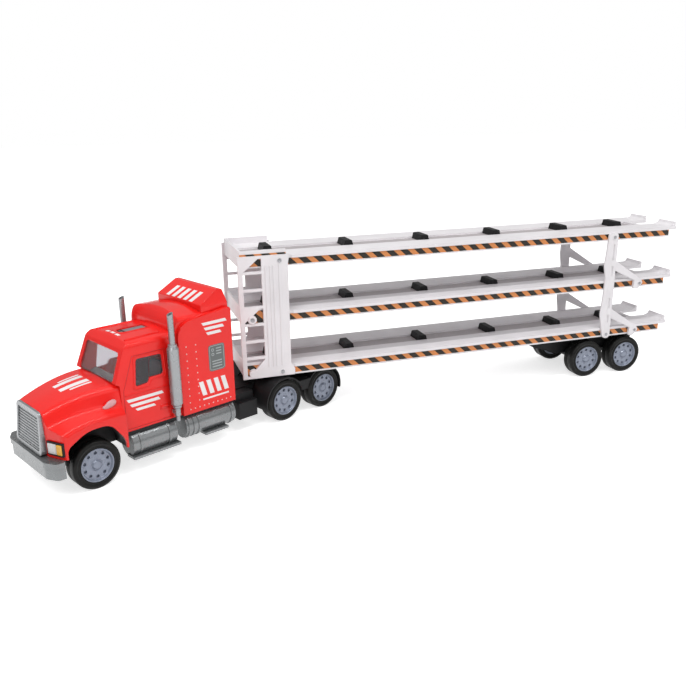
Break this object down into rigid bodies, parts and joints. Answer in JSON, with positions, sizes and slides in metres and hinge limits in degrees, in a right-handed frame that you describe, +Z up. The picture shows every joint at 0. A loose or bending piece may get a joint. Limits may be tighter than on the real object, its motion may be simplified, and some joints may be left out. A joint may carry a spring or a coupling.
{
  "type": "toy car transporter truck",
  "caption": "Toy bonneted sleeper tractor with a multi-deck open car transporter trailer; rolls on its wheels and turns at the kingpin.",
  "frame": {"origin": "on the floor, under the middle of the parked outline", "axes": "+X forward along the trailer, +Y to the trailer's left, +Z up"},
  "size_m": [0.6768, 0.2016, 0.1642],
  "materials": {
    "red_body": "glossy moulded",
    "silver_plastic": "satin metallic",
    "black_plastic": "satin moulded",
    "white_plastic": "satin moulded",
    "stripe": "printed label",
    "tyre": "smooth",
    "rim": "satin",
    "axle_steel": "drawn rod",
    "glazing": "clear moulded",
    "lamp": "printed lens",
    "interior": "moulded",
    "grey_plastic": "moulded"
  },
  "bodies": {
    "trailer": {"lower_deck": "white_plastic", "middle_deck": "white_plastic", "upper_deck": "white_plastic", "stripe_bands": "stripe", "side_frame_left": "white_plastic", "side_frame_right": "white_plastic", "rear_brace_left": "white_plastic", "rear_brace_right": "white_plastic", "stop_blocks": "black_plastic", "coupling_plate": "black_plastic", "trailer_bogie": "black_plastic"},
    "tractor": {"hood": "red_body", "cab_body": "red_body", "windscreen": "glazing", "side_windows": "glazing", "roof_hatch": "grey_plastic", "sleeper_body": "red_body", "roof_fairing": "red_body", "grille": "silver_plastic", "bumper": "silver_plastic", "headlamps": "lamp", "side_lamps": "lamp", "exhaust_left": "silver_plastic", "tanks_left": "silver_plastic", "exhaust_right": "silver_plastic", "tanks_right": "silver_plastic", "tractor_chassis": "black_plastic", "arch_liners": "black_plastic", "battery_boxes": "black_plastic", "drive_mudguards": "black_plastic", "fifth_wheel": "black_plastic", "cab_interior": "interior"},
    "front_wheels": {"front_axle": "axle_steel", "front_rims": "rim", "front_tyres": "tyre"},
    "drive_front_wheels": {"drive_front_axle": "axle_steel", "drive_front_rims": "rim", "drive_front_tyres": "tyre"},
    "drive_rear_wheels": {"drive_rear_axle": "axle_steel", "drive_rear_rims": "rim", "drive_rear_tyres": "tyre"},
    "trailer_front_wheels": {"trailer_front_axle": "axle_steel", "trailer_front_rims": "rim", "trailer_front_tyres": "tyre"},
    "trailer_rear_wheels": {"trailer_rear_axle": "axle_steel", "trailer_rear_rims": "rim", "trailer_rear_tyres": "tyre"}
  },
  "joints": [
    {"name": "kingpin_turn", "type": "hinge", "parent": "trailer", "child": "tractor", "pos_m": [0.09856, -0.04321, 0.045], "axis": [0, 0, 1], "range_deg": [-115.6, 64.4]},
    {"name": "front_spin", "type": "hinge", "parent": "tractor", "child": "front_wheels", "pos_m": [0.28938, 0.04822, 0.02], "axis": [-0.4321, 0.9018, 0], "continuous": true},
    {"name": "drive_front_spin", "type": "hinge", "parent": "tractor", "child": "drive_front_wheels", "pos_m": [0.1175, -0.03413, 0.02], "axis": [-0.4321, 0.9018, 0], "continuous": true},
    {"name": "drive_rear_spin", "type": "hinge", "parent": "tractor", "child": "drive_rear_wheels", "pos_m": [0.0733, -0.05531, 0.02], "axis": [-0.4321, 0.9018, 0], "continuous": true},
    {"name": "trailer_front_spin", "type": "hinge", "parent": "trailer", "child": "trailer_front_wheels", "pos_m": [-0.23744, -0.04321, 0.02], "axis": [0, 1, 0], "continuous": true},
    {"name": "trailer_rear_spin", "type": "hinge", "parent": "trailer", "child": "trailer_rear_wheels", "pos_m": [-0.28594, -0.04321, 0.02], "axis": [0, 1, 0], "continuous": true}
  ]
}
